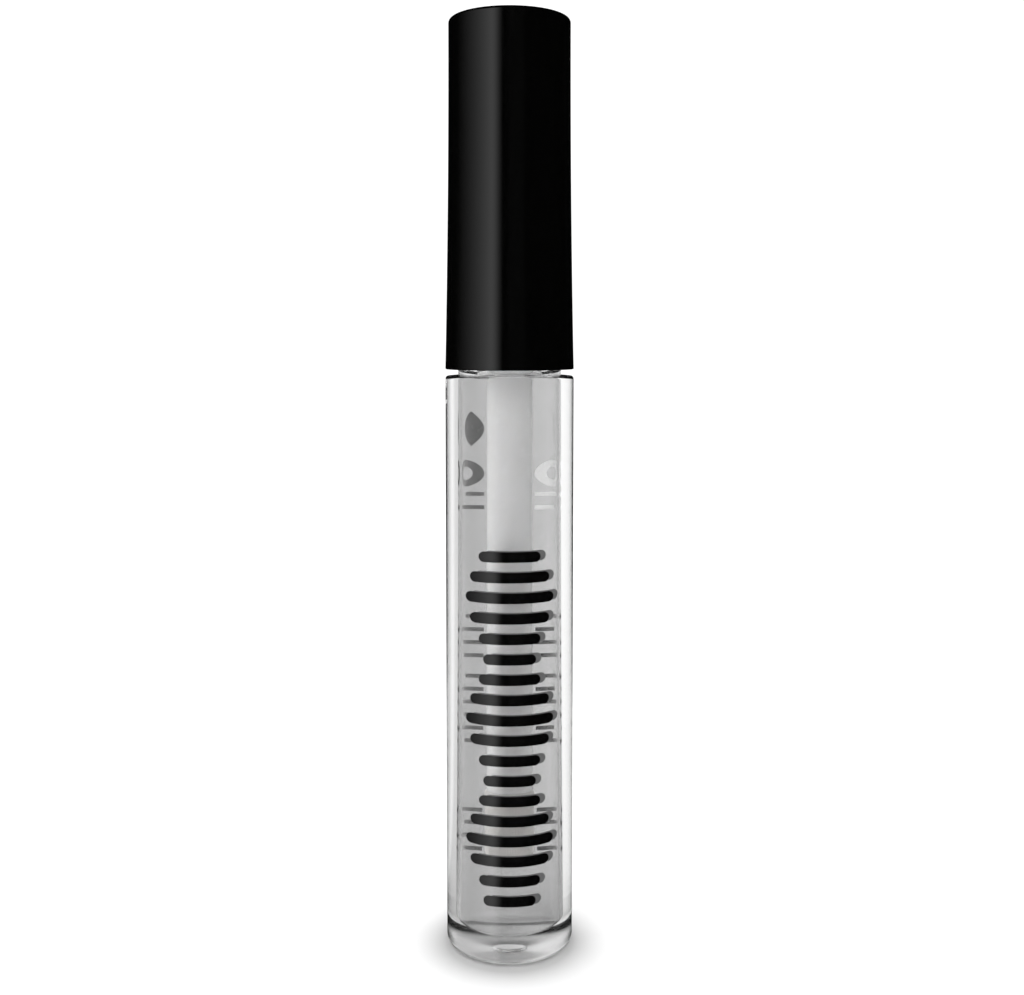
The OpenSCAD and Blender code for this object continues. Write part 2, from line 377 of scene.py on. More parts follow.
def painted_shadow_ink():
    f = new_finish("front_shade_ink")
    film = f.noise(1500, detail=3)
    return f.surface(
        Base_Color=f.clouded(film, grey(0.12), grey(0.15)),
        Roughness=f.vary(film, 0.3, 0.4), Normal=f.bump(film, 0.003 * MM))

def rear_ink():
    f = new_finish("rear_ink")
    film = f.noise(1500, detail=3)
    upright = f.axis(2)
    # The marks on one side get a painted highlight: they are painted white and made to glow.
    painted_highlight = (f.axis(0) > 0) * (upright > RINGS_FOOT_Z) * (upright < RINGS_HEAD_Z)
    leaf_dark = f.clouded(film, grey(0.01), grey(0.03))
    ring_grey = f.clouded(film, grey(0.05), grey(0.08))
    printed = f.blend(upright > RINGS_HEAD_Z, ring_grey, leaf_dark)
    return f.surface(
        # Painted highlight: white colour and a glow on the marks of one side.
        Base_Color=f.blend(painted_highlight, printed, grey(0.85)),
        Emission_Color=f.blend(painted_highlight, grey(0.0), grey(1.0)), Emission_Strength=0.7,
        Roughness=f.vary(film, 0.2, 0.3), Normal=f.bump(film, 0.003 * MM))

# %% [markdown]
# The cap is black plastic with a high polish. Black shows almost nothing of its own, so its look is
# in its reflections: slow waves of the moulding, and scuffs that soften the gloss here and there.

# %% Cap
def cap_black():
    f = new_finish("cap_black")
    flow = f.noise(45, detail=1, stretch=(1, 1, 0.25))
    scuffs = f.noise(2600, detail=6, roughness=0.75, stretch=(1, 1, 0.08))
    height = flow + scuffs * 0.02
    return f.surface(
        Base_Color=f.blend(f.spread(scuffs, 0.4, 0.8, 0.0, 1.0), grey(0.0006), grey(0.0018)),
        Roughness=f.spread(scuffs, 0.35, 0.75, 0.06, 0.13), IOR=1.5,
        Normal=f.bump(height, 0.01 * MM))

# %% [markdown]
# The wiper, liner, stem and the tip's core are natural plastics. Light goes a little way into them,
# so they get some scattering under the surface, and one function serves all four.

# %% White plastics
def milky_plastic(name, tint, roughness, grain):
    """Natural polyolefin: translucent, faintly warm, with the fine grain of its mould."""
    f = new_finish(name)
    fine = f.noise(grain, detail=4)
    broad = f.noise(180, detail=2)
    dark = [channel * 0.94 for channel in tint[:3]] + [1.0]
    return f.surface(
        Base_Color=f.clouded(broad, dark, tint),
        Roughness=f.vary(fine, roughness - 0.05, roughness + 0.07), IOR=1.49,
        Subsurface_Weight=0.15, Subsurface_Radius=(1.0, 0.95, 0.9), Subsurface_Scale=0.8 * MM,
        Normal=f.bump(fine, 0.004 * MM))

# %% [markdown]
# Flock is short fibre standing on end, so it is rough, has a soft sheen at its edges, and its tufts
# show as bumps. The larger tufts are real faces of the tip.

# %% Flock
def flock_finish():
    f = new_finish("flock")
    tufts = f.noise(2500, detail=3)
    broad = f.noise(400, detail=2)
    return f.surface(
        Base_Color=f.clouded(broad, (0.80, 0.78, 0.76, 1), (0.90, 0.89, 0.87, 1)),
        Roughness=f.vary(tufts, 0.8, 0.95), Sheen_Weight=0.4,
        Normal=f.bump(tufts, 0.03 * MM))

clear_wall_finish = clear_wall()
gloss_material = gloss_finish()
front_ink_finish = black_ink()
painted_shadow_finish = painted_shadow_ink()
rear_ink_finish = rear_ink()
cap_finish = cap_black()
wiper_finish = milky_plastic("wiper_polyethylene", (0.84, 0.85, 0.85, 1), 0.36, 1800)
liner_finish = milky_plastic("liner_polypropylene", (0.86, 0.86, 0.85, 1), 0.33, 1500)
stem_finish = milky_plastic("stem_polypropylene", (0.92, 0.92, 0.92, 1), 0.22, 1200)
rubber_finish = milky_plastic("tip_rubber", (0.82, 0.80, 0.78, 1), 0.5, 2200)
flock_material = flock_finish()

# %% [markdown]
# ## Threads
# A thread is a small section swept up a helix. The Screw modifier does the sweep, both ends are
# closed and pinched into the wall, and a Boolean joins the ridge to its piece, so that no hidden
# faces are left where clear plastic would show them.

# %% Sweep a thread and join it to a piece
THREAD_PITCH = 2.6 * MM
THREAD_TURNS = 1.5
THREAD_Z = COLLAR_Z + 2.2 * MM
RIDGE_BASE = 1.3 * MM
RIDGE_CREST = 0.5 * MM
RIDGE_SINK = 0.12 * MM
STEPS_PER_TURN = 64
FADE_STEPS = 12
FADE_SIZE = 0.15
SAME_RAY = 0.02

def open_edges(piece):
    """How many edges of a piece don't lie between exactly two faces."""
    mesh = bmesh.new()
    mesh.from_mesh(piece.data)
    count = sum(not edge.is_manifold for edge in mesh.edges)
    mesh.free()
    return count

def add_thread(piece, root_r, crest_r, foot_z):
    """Joins one helical ridge to a turned piece, from its root radius to its crest radius."""
    bpy.ops.object.mode_set(mode="OBJECT")
    bpy.ops.object.select_all(action="DESELECT")
    bpy.ops.mesh.primitive_plane_add(size=1, location=AXIS, rotation=(math.pi / 2, 0, 0))
    ridge = bpy.context.object
    bpy.ops.object.transform_apply(location=True, rotation=True, scale=True)
    edit(ridge)
    bpy.ops.mesh.select_all(action="SELECT")
    bpy.ops.transform.resize(value=(abs(crest_r - root_r), 1, RIDGE_BASE), center_override=AXIS)
    bpy.ops.transform.translate(value=((root_r + crest_r) / 2, 0, foot_z))
    pick(ridge, lambda place: abs(place.x - crest_r) < TINY)
    bpy.ops.transform.resize(value=(1, 1, RIDGE_CREST / RIDGE_BASE), center_override=(0, 0, foot_z))
    alone(ridge)
    sweep = ridge.modifiers.new("sweep", "SCREW")
    sweep.axis = "Z"
    sweep.angle = 2 * math.pi * THREAD_TURNS
    sweep.screw_offset = THREAD_PITCH * THREAD_TURNS
    sweep.steps = sweep.render_steps = int(STEPS_PER_TURN * THREAD_TURNS)
    bpy.ops.object.modifier_apply(modifier="sweep")
    edit(ridge)
    bpy.ops.mesh.select_all(action="SELECT")
    bpy.ops.mesh.fill_holes(sides=0)
    last = int(STEPS_PER_TURN * THREAD_TURNS)
    for step in list(range(FADE_STEPS)) + list(range(last - FADE_STEPS + 1, last + 1)):
        turn = 2 * math.pi * step / STEPS_PER_TURN
        root = Vector((root_r * math.cos(turn), root_r * math.sin(turn),
                       foot_z + THREAD_PITCH * step / STEPS_PER_TURN))
        ray = Vector((math.cos(turn), math.sin(turn)))
        pick(ridge, lambda place: abs(place.z - root.z) < RIDGE_BASE / 2 + TINY
             and (place.xy.normalized() - ray).length < SAME_RAY)
        size = FADE_SIZE + (1 - FADE_SIZE) * min(step, last - step) / FADE_STEPS
        bpy.ops.transform.resize(value=(size, size, size), center_override=root)
    close_up(ridge)
    alone(piece)
    union = piece.modifiers.new("thread", "BOOLEAN")
    union.operation = "UNION"
    union.solver = "EXACT"
    union.object = ridge
    bpy.ops.object.modifier_apply(modifier="thread")
    bpy.data.objects.remove(ridge)
    close_up(piece)
    print(piece.name, "open edges after its thread:", open_edges(piece))

# %% [markdown]
# ## The vial
# The vial is one moulding, so its outline is one closed line on the lathe: from the middle of the
# base, round its edge, up the wall, over the shoulder, the collar and the neck, and back down the
# bore to the cavity's floor.

# %% Turn the vial
GATE_R = 1.5 * MM
GATE_DEPTH = 0.3 * MM
BASE_EDGE = 1.0 * MM
SHOULDER_EDGE = 0.4 * MM
FLOOR_EDGE = 0.7 * MM
RIM_EDGE = 0.12 * MM

vial_outline = (
    [(0, GATE_DEPTH), (GATE_R - 0.4 * MM, GATE_DEPTH)]
    + arc(GATE_R - 0.4 * MM, GATE_DEPTH - 0.25 * MM, 0.25 * MM, 90, 0)
    + [(GATE_R, 0.02 * MM), (GATE_R + 0.05 * MM, 0)]
    + arc(TUBE_R - BASE_EDGE, BASE_EDGE, BASE_EDGE, -90, 0, 16)
    + arc(TUBE_R - SHOULDER_EDGE, SHOULDER_Z - SHOULDER_EDGE, SHOULDER_EDGE, 0, 90)
    + arc(COLLAR_R + 0.15 * MM, SHOULDER_Z + 0.15 * MM, -0.15 * MM, 90, 0, 4)
    + arc(COLLAR_R - RIM_EDGE, COLLAR_Z - RIM_EDGE, RIM_EDGE, 0, 90, 4)
    + [(NECK_R, COLLAR_Z)]
    + arc(NECK_R - RIM_EDGE, RIM_Z - RIM_EDGE, RIM_EDGE, 0, 90, 4)
    + arc(CAVITY_R + RIM_EDGE, RIM_Z - RIM_EDGE, RIM_EDGE, 90, 180, 4)
    + [(CAVITY_R, BEAD_Z + 3 * BEAD), (CAVITY_R + BEAD, BEAD_Z + 2.6 * BEAD),
       (CAVITY_R + BEAD, BEAD_Z - 2.6 * BEAD), (CAVITY_R, BEAD_Z - 3 * BEAD)]
    + arc(CAVITY_R - FLOOR_EDGE, FLOOR_Z + FLOOR_EDGE, FLOOR_EDGE, 0, -90, 12)
    + [(0, FLOOR_Z)])
vial = turned("vial", vial_outline, steps=256)
THREAD_R = NECK_R + 0.65 * MM
add_thread(vial, NECK_R - RIDGE_SINK, THREAD_R, THREAD_Z)
placed(vial, "bottle", "clear_wall", clear_wall_finish, "tube_body")

# %% [markdown]
# ## The gloss
# Where a liquid wets a wall there is no air between them. So the gloss is drawn a hair larger
# than the cavity: light then passes straight from the wall into it.

# %% Fill the vial
WET = 0.01 * MM
MENISCUS = 0.5 * MM
gloss_top = gloss_head.z
gloss_piece = turned("gloss", (
    [(0, FLOOR_Z - WET)]
    + arc(CAVITY_R - FLOOR_EDGE, FLOOR_Z + FLOOR_EDGE, FLOOR_EDGE + WET, -90, 0, 12)
    + [(CAVITY_R + WET, gloss_top * (0.1 + 0.1 * i)) for i in range(1, 9)]
    + arc(CAVITY_R - MENISCUS, gloss_top, MENISCUS, 0, -90, 6)
    + [(0, gloss_top - MENISCUS)]), steps=256)
placed(gloss_piece, "bottle", "gloss", gloss_material, "gloss_fill")
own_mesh(gloss_piece)

# %% [markdown]
# ## The prints
# A screen print is a film of ink only a few hundredths of a millimetre thick. Each mark is drawn
# flat, cut into narrow strips so that it can bend, laid on a helper of the vial's shape, and given
# its thickness. The film reaches a little into the wall, so that no air shows behind the ink.

# %% Lay flat marks on the vial
INK = 0.04 * MM
BITE = 0.02 * MM
STRIP = 0.25 * MM

def laid_on_vial(name, marks, side):
    """Wraps flat marks, drawn in the XZ plane, on the front (-1) or back (1) of the vial."""
    bpy.ops.object.select_all(action="DESELECT")
    bpy.ops.mesh.primitive_cylinder_add(
        vertices=1024, radius=TUBE_R - BITE, depth=SHOULDER_Z, end_fill_type="NOTHING",
        location=(0, 0, SHOULDER_Z / 2))
    former = bpy.context.object
    bpy.ops.object.select_all(action="DESELECT")
    for mark in marks:
        mark.select_set(True)
    bpy.context.view_layer.objects.active = marks[0]
    if len(marks) > 1:
        bpy.ops.object.join()
    film = bpy.context.object
    film.name = name
    bpy.ops.object.transform_apply(location=True, rotation=True, scale=True)
    edit(film)
    bpy.ops.mesh.select_all(action="SELECT")
    reach = max(abs(corner[0]) for corner in film.bound_box)
    for i in range(-int(reach / STRIP), int(reach / STRIP) + 1):
        bpy.ops.mesh.select_all(action="SELECT")
        bpy.ops.mesh.bisect(plane_co=(i * STRIP, 0, 0), plane_no=(1, 0, 0))
    bpy.ops.mesh.select_all(action="SELECT")
    bpy.ops.transform.translate(value=(0, side * 2 * TUBE_R, 0))
    alone(film)
    wrap = film.modifiers.new("wrap", "SHRINKWRAP")
    wrap.target = former
    wrap.wrap_method = "PROJECT"
    wrap.use_project_x = False
    wrap.use_project_y = True
    wrap.use_project_z = False
    wrap.use_negative_direction = True
    wrap.use_positive_direction = True
    wrap.cull_face = "BACK"
    bpy.ops.object.modifier_apply(modifier="wrap")
    edit(film)
    bpy.ops.mesh.select_mode(type="FACE")
    sheet = bmesh.from_edit_mesh(film.data)
    for face in sheet.faces:
        face.select_set(face.normal.y * side < 0)
    bmesh.update_edit_mesh(film.data)
    bpy.ops.mesh.flip_normals()
    alone(film)
    thicken = film.modifiers.new("film", "SOLIDIFY")
    thicken.thickness = INK + BITE
    thicken.offset = 1
    bpy.ops.object.modifier_apply(modifier="film")
    bpy.data.objects.remove(former)
    alone(film)
    bpy.ops.object.shade_smooth_by_angle(angle=math.radians(40))
    return film

# %% [markdown]
# The front carries a column of bars whose lengths swell and shrink. Each is a disc whose halves are
# drawn apart, so that its ends stay round.

# %% Draw the front bars
STROKE = 1.3 * MM
BAR_PITCH = 2.5 * MM
BARS_PER_SWELL = 6
front_foot, front_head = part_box("front_print")
bar_count = round((front_head.z - front_foot.z - STROKE) / BAR_PITCH) + 1

def bar(width, z):
    """A flat bar with round ends: a disc whose halves are drawn apart."""
    bpy.ops.object.select_all(action="DESELECT")
    bpy.ops.mesh.primitive_circle_add(
        vertices=32, radius=STROKE / 2, fill_type="NGON", location=AXIS, rotation=(math.pi / 2, 0, 0))
    mark = bpy.context.object
    bpy.ops.object.transform_apply(location=True, rotation=True, scale=True)
    for side in (-1, 1):
        edit(mark)
        pick(mark, lambda place: place.x * side > -1e-9)
        bpy.ops.transform.translate(value=(side * (width - STROKE) / 2, 0, 0))
    bpy.ops.mesh.select_all(action="SELECT")
    bpy.ops.transform.translate(value=(0, 0, z))
    alone(mark)
    return mark

bars = [
    bar(front_head.x * 2 * (0.8 - 0.2 * math.cos(2 * math.pi * i / BARS_PER_SWELL)),
        front_foot.z + STROKE / 2 + i * BAR_PITCH)
    for i in range(bar_count)]
front_print = laid_on_vial("front_print_bars", bars, -1)
placed(front_print, "bottle", "front_ink", front_ink_finish, "front_print")

# %% [markdown]
# Beside each black mark lies a paler one, a little to the right and above: a painted shadow,
# standing for the shadow that the black marks cast into the vial. On a real vial that may be a first
# layer of ink or a shadow in the wall. It is a film of grey ink: the same marks again, moved, and
# drawn a hair closer to the axis, so that the black always covers it.

# %% Draw the painted shadow of the bars
PAINTED_SHADOW_SHIFT = (0.75 * MM, 0.15 * MM)
PAINTED_SHADOW_SIZE = 0.9965
painted_shadow_film = bpy.data.objects.new("front_print_shade", front_print.data.copy())
bpy.context.scene.collection.objects.link(painted_shadow_film)
painted_shadow_film.data.transform(
    Matrix.Translation((0, 0, PAINTED_SHADOW_SHIFT[1]))
    @ Matrix.Rotation(PAINTED_SHADOW_SHIFT[0] / TUBE_R, 4, "Z")
    @ Matrix.Diagonal((PAINTED_SHADOW_SIZE, PAINTED_SHADOW_SIZE, 1, 1)))
placed(painted_shadow_film, "bottle", "front_ink", painted_shadow_finish)

# %% [markdown]
# The back carries two columns of marks with a clear gutter between them: a leaf on one side, a
# ring on each, and short lines that stand for small print. From the front they show through the
# vial, spread sideways by it as by a strong lens, and the gutter keeps the side walls clear.

# %% Draw the rear marks
MARK_H = 0.5 * MM
MARK_PITCH = 1.7 * MM
GUTTER = 3.2 * MM
COLUMN = 3.5 * MM
LEAF = (2.0 * MM, 4.4 * MM)
RING_D = 3.4 * MM
PARAGRAPHS = ((15.8, 2), (31.6, 4), (39.4, 6), (57, 4))
rear_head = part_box("rear_print")[1]

def flat_mark(kind, **size):
    """A flat shape in the XZ plane, opened for editing."""
    bpy.ops.object.select_all(action="DESELECT")
    if kind == "disc":
        bpy.ops.mesh.primitive_circle_add(
            fill_type="NGON", location=AXIS, rotation=(math.pi / 2, 0, 0), **size)
    else:
        bpy.ops.mesh.primitive_plane_add(location=AXIS, rotation=(math.pi / 2, 0, 0), **size)
    mark = bpy.context.object
    bpy.ops.object.transform_apply(location=True, rotation=True, scale=True)
    edit(mark)
    bpy.ops.mesh.select_all(action="SELECT")
    return mark

def leaf(x, z):
    """A disc as long as the leaf, whose levels narrow to a point at both ends."""
    width, length = LEAF
    mark = flat_mark("disc", vertices=48, radius=length / 2)
    levels = {round(corner.co.z, 7) for corner in bmesh.from_edit_mesh(mark.data).verts}
    for level in sorted(levels):
        share = 1 - (2 * level / length) ** 2
        if share > 0.001:
            pick(mark, lambda place: abs(place.z - level) < TINY, kind="VERT")
            bpy.ops.transform.resize(
                value=(width / length * math.sqrt(share), 1, 1), center_override=AXIS)
    bpy.ops.mesh.select_all(action="SELECT")
    bpy.ops.transform.translate(value=(x, 0, z))
    alone(mark)
    return mark

def ring(x, z):
    """A disc with its middle inset and taken out."""
    mark = flat_mark("disc", vertices=48, radius=RING_D / 2)
    bpy.ops.mesh.inset(thickness=RING_D / 4)
    bpy.ops.mesh.delete(type="FACE")
    bpy.ops.mesh.select_all(action="SELECT")
    bpy.ops.transform.translate(value=(x, 0, z))
    alone(mark)
    return mark

def dash(left, right, foot):
    """A short bar between two places."""
    mark = flat_mark("plane", size=1)
    bpy.ops.transform.resize(value=(right - left, 1, MARK_H), center_override=AXIS)
    bpy.ops.transform.translate(value=((left + right) / 2, 0, foot + MARK_H / 2))
    alone(mark)
    return mark

leaf_z = rear_head.z - LEAF[1] / 2
ring_z = rear_head.z - LEAF[1] - RING_D / 2 - 1.8 * MM
marks = [leaf(-(GUTTER + LEAF[0]) / 2, leaf_z)]
marks += [ring(side * (GUTTER + RING_D) / 2, ring_z) for side in (-1, 1)]
for depth, lines in PARAGRAPHS:
    for k in range(lines):
        foot = SHOULDER_Z - depth * MM - k * MARK_PITCH
        for side in (-1, 1):
            reach = COLUMN * (0.75 + 0.25 * math.sin(math.radians(137 * (k + depth) + 90 * side)))
            ends = sorted((side * GUTTER / 2, side * (GUTTER / 2 + reach)))
            marks.append(dash(*ends, foot))
rear_print = laid_on_vial("rear_print_marks", marks, 1)
placed(rear_print, "bottle", "rear_ink", rear_ink_finish, "rear_print")

# %% [markdown]
# ## The wiper
# A soft plug snaps into the neck. Its flange sits on the rim, and its lower end narrows to a lip
# that wipes the wand. It is thin all over, so its outline runs down the outside and up the inside.

# %% Turn the wiper
PLUG_WALL = 0.8 * MM
LIP_WALL = 0.65 * MM
NOSE = 3.0 * MM
PLUG_R = CAVITY_R - 0.02 * MM
LIP_R = TIP_R + 0.05 * MM

wiper_outline = (
    arc(NECK_R - 0.2 * MM, wiper_head.z - 0.2 * MM, 0.2 * MM, 90, 0, 5)
    + [(NECK_R, RIM_Z), (PLUG_R, RIM_Z)]
    + [(PLUG_R + BEAD * max(0, 1 - (i / 5) ** 2), BEAD_Z - i * BEAD * 0.4) for i in range(-5, 6)]
    + [(PLUG_R, wiper_foot.z + NOSE)]
    + [(PLUG_R - (PLUG_R - LIP_R - LIP_WALL) * (i / 8) ** 1.6, wiper_foot.z + NOSE * (1 - i / 8))
       for i in range(1, 9)]
    + [(LIP_R + 0.1 * MM, wiper_foot.z), (LIP_R, wiper_foot.z + 0.1 * MM)]
    + [(LIP_R + (PLUG_R - PLUG_WALL - LIP_R) * (i / 8) ** 1.3, wiper_foot.z + 0.4 * MM + NOSE * i / 8)
       for i in range(9)]
    + arc(PLUG_R - PLUG_WALL + 0.25 * MM, wiper_head.z - 0.25 * MM, 0.25 * MM, 180, 90, 5))
wiper = turned("wiper_plug", wiper_outline, steps=128)
placed(wiper, "seal", "wiper_polyethylene", wiper_finish, "wiper")

# %% [markdown]
# ## The cap
# The cap widens a little towards its mouth along a gentle curve, and its top edge is barely
# rounded. Inside are a wide bore for the liner, a step the liner stops on, and a blind top.

# %% Turn the cap
CAP_FLARE = 0.5 * MM
CAP_EDGE = 0.45 * MM
MOUTH_EDGE = 0.12 * MM
TOP_WALL = 1.2 * MM
cap_length = cap_head.z - cap_foot.z
cap_bore = liner_head.x
top_r = CAP_R - CAP_FLARE

def flank(share):
    """A station on the cap's side, at a share of the way down from its top."""
    return (top_r + CAP_FLARE * share ** 2, cap_head.z - share * cap_length)

mouth_share = 1 - MOUTH_EDGE / cap_length
edge_share = CAP_EDGE / cap_length
shares = [mouth_share + (edge_share - mouth_share) * i / 24 for i in range(25)]
cap_outline = (
    arc(cap_bore + MOUTH_EDGE, cap_foot.z + MOUTH_EDGE, MOUTH_EDGE, 180, 270, 5)
    + arc(CAP_R - MOUTH_EDGE, cap_foot.z + MOUTH_EDGE, MOUTH_EDGE, 270, 360, 5)
    + [flank(share) for share in shares[1:]]
    + arc(top_r - CAP_EDGE, cap_head.z - CAP_EDGE, CAP_EDGE, 0, 90, 10)[1:]
    + [(top_r * 0.6, cap_head.z), (0, cap_head.z)])
cap_hollow = [
    (0, cap_head.z - TOP_WALL), (cap_bore - 0.8 * MM, cap_head.z - TOP_WALL),
    (cap_bore - 0.6 * MM, liner_head.z), (cap_bore, liner_head.z)]
cap = turned("cap", cap_hollow + cap_outline, steps=256)
placed(cap, "wand", "cap_black", cap_finish, "cap_shell")

# %% [markdown]
# ## The wand
# The stem is one long rod with a stop flange under the liner and a barb above it.

# %% Turn the stem
STOP_T = 0.5 * MM
BARB = 0.3 * MM
BARB_H = 1.6 * MM
SOCKET_R = 1.0 * MM
SOCKET_DEPTH = 6 * MM
stop_r = stem_head.x
boss_top = stem_head.z - BARB_H
partition_z = wiper_head.z + 0.1 * MM

stem_outline = (
    [(SOCKET_R, stem_foot.z + SOCKET_DEPTH), (SOCKET_R, stem_foot.z)]
    + arc(STEM_R - 0.15 * MM, stem_foot.z + 0.15 * MM, 0.15 * MM, 270, 360, 4)
    + [(STEM_R, partition_z - STOP_T)]
    + arc(stop_r - 0.1 * MM, partition_z - STOP_T + 0.1 * MM, 0.1 * MM, 270, 360, 3)
    + [(stop_r, partition_z), (STEM_R, partition_z), (STEM_R, boss_top),
       (STEM_R + BARB, boss_top), (STEM_R - BARB, stem_head.z), (0, stem_head.z)])
stem = turned("stem", [(0, stem_foot.z + SOCKET_DEPTH)] + stem_outline, steps=96)
placed(stem, "wand", "stem_polypropylene", stem_finish, "wand_stem")

# %% [markdown]
# ## The liner
# Between the stem and the black shell is a plain inner moulding. Its skirt carries the thread, its
# floor closes on the wiper, and its boss grips the stem. Ribs on the crown key it to the shell: on
# the lathe it is round, so the ribs are strips of its side faces drawn outwards.

# %% Turn the liner, raise its ribs and cut its thread
RIB_COUNT = 12
RIB_H = 0.15 * MM
RIB_HALF_DEG = 2.9
PARTITION_T = 1.2 * MM
LINER_WALL = 0.6 * MM
BOSS_WALL = 1.3 * MM
BOSS_H = 7 * MM
LINER_EDGE = 0.1 * MM
liner_r = liner_head.x - RIB_H
bore_r = liner_r - LINER_WALL
crown_z = partition_z + PARTITION_T
boss_r = STEM_R + BOSS_WALL

liner_outline = (
    [(STEM_R, partition_z), (bore_r, partition_z)]
    + arc(bore_r + LINER_EDGE, liner_foot.z + LINER_EDGE, LINER_EDGE, 180, 270, 3)
    + arc(liner_r - LINER_EDGE, liner_foot.z + LINER_EDGE, LINER_EDGE, 270, 360, 3)
    + [(liner_r, crown_z), (liner_r, liner_head.z - 2 * LINER_EDGE)]
    + arc(liner_r - LINER_EDGE, liner_head.z - LINER_EDGE, LINER_EDGE, 0, 90, 3)
    + [(bore_r, liner_head.z), (bore_r, crown_z), (boss_r, crown_z)]
    + arc(boss_r - LINER_EDGE, crown_z + BOSS_H - LINER_EDGE, LINER_EDGE, 0, 90, 3)
    + [(STEM_R, crown_z + BOSS_H)])
liner = turned("liner", liner_outline)

def on_rib(centre):
    """Whether a side face of the crown lies on one of the ribs."""
    pitch = 360 / RIB_COUNT
    away = (math.degrees(math.atan2(centre.y, centre.x)) + pitch / 2) % pitch - pitch / 2
    return (abs(centre.xy.length - liner_r) < 0.02 * MM and abs(away) < RIB_HALF_DEG
            and crown_z < centre.z < liner_head.z - 2 * LINER_EDGE)

edit(liner)
bpy.ops.mesh.select_mode(type="FACE")
sides = bmesh.from_edit_mesh(liner.data)
for face in sides.faces:
    face.select_set(on_rib(face.calc_center_median()))
bmesh.update_edit_mesh(liner.data)
bpy.ops.mesh.extrude_region_move()
rib_size = (liner_r + RIB_H) / liner_r
bpy.ops.transform.resize(value=(rib_size, rib_size, 1), center_override=AXIS)
close_up(liner)
LINER_CREST_R = THREAD_R + 0.1 * MM
add_thread(liner, bore_r + RIDGE_SINK, LINER_CREST_R, THREAD_Z + THREAD_PITCH / 2)
placed(liner, "wand", "liner_polypropylene", liner_finish, "cap_liner")

# %% [markdown]
# ## The flocked tip
# The tip is a soft finger cut to a slanted flat, coated with short upright fibres. A fine grid is
# turned, its front is pressed to the flat, and each small face is then poked up to a point.

# %% Turn the tip, press its flat and raise its pile
TUFT = 0.15 * MM
PILE = 0.11 * MM
SLANT_DEG = 16
FLAT_START = 0.15
tip_round = int(2 * math.pi * TIP_R / TUFT)
pile_r = TIP_R - PILE
tip_bottom = tip_foot.z + PILE
side_rows = int((tip_head.z - tip_bottom - pile_r) / TUFT)

tip_outline = (
    [(0, tip_bottom)]
    + arc(0, tip_bottom + pile_r, pile_r, -86, 0, 20)
    + [(pile_r, tip_bottom + pile_r + (tip_head.z - tip_bottom - pile_r) * i / side_rows)
       for i in range(1, side_rows + 1)]
    + [(SOCKET_R, tip_head.z), (0, tip_head.z)])
tip = turned("tip_pile", tip_outline, steps=tip_round)
edit(tip)
grid = bmesh.from_edit_mesh(tip.data)
for corner in grid.verts:
    flat_y = -FLAT_START * TIP_R - math.tan(math.radians(SLANT_DEG)) * (corner.co.z - tip_foot.z)
    corner.co.y = max(corner.co.y, flat_y)
bmesh.update_edit_mesh(tip.data)
bpy.ops.mesh.select_mode(type="FACE")
for face in grid.faces:
    face.select_set(face.calc_center_median().z < tip_head.z - 0.01 * MM)
bmesh.update_edit_mesh(tip.data)
bpy.ops.mesh.poke(offset=PILE)
alone(tip)
bpy.ops.object.shade_flat()
print("tip open edges:", open_edges(tip))
placed(tip, "wand", "flock", flock_material, "tip_flock")

# %% [markdown]
# The tip's core is right as it comes from the frame, so it only gets its rubber.

# %% Finish the tip's core
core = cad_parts["tip_core"]
core.data.materials.clear()
core.data.materials.append(rubber_finish)

# %% [markdown]
# ## Studio
# A clear vial is lit from behind: it shows a white backdrop bent by its walls, and dark lines
# where its surfaces mirror the dark sides of the studio. A black cap is the opposite: it shows
# only what it mirrors, here one tall softbox at the front left that fades towards the side. The
# world holds both, told apart by the kind of ray, so the object is lit alike from all round.

# %% Light the studio
BACKDROP = 1.15
TOP_LIGHT = 1.6
SIDE_LIGHT = 0.5
SIDE_TILT = 0.3
INNER_LIGHT = 3.2
INNER_SIDE = 2.0
MIRRORED_LIGHT = 1.2
# The softbox: the turns and heights at which it starts and is full, or starts to fade and is gone.
BOX_START_DEG = (11, 33)
BOX_FADE_DEG = (35, 120)
BOX_FADE_POWER = 2.1
BOX_FOOT = (-0.7, -0.5)
BOX_HEAD = (0.5, 0.75)
FILL_START_DEG = (-30, -24)
FILL_FADE_DEG = (-2, 6)
FILL_LIGHT = 0.02
DARK_LIGHT = 0.003
TOP_RISE = (0.45, 0.65)
# What the clear walls show, by share of a turn: from the back, by the right, front and left.
AROUND = ((0.0, 0.60), (0.056, 0.58), (0.111, 0.58), (0.133, 0.62), (0.15, 0.87), (0.164, 0.85),
          (0.178, 0.64), (0.239, 0.56), (0.333, 0.8), (0.5, 1.0), (0.667, 1.0), (0.761, 0.82),
          (0.8, 0.72), (0.833, 0.85), (0.869, 0.9), (0.883, 0.86), (0.944, 0.84), (1.0, 0.60))

def light_around(f, x, y):
    """The brightness in a direction, or at a place on the floor, as the walls show it."""
    stops = [(share, grey(level)) for share, level in AROUND]
    return f.node("ShaderNodeValToRGB", {"stops": stops}, {"Fac": f.turn(x, y) / 360 + 0.5})

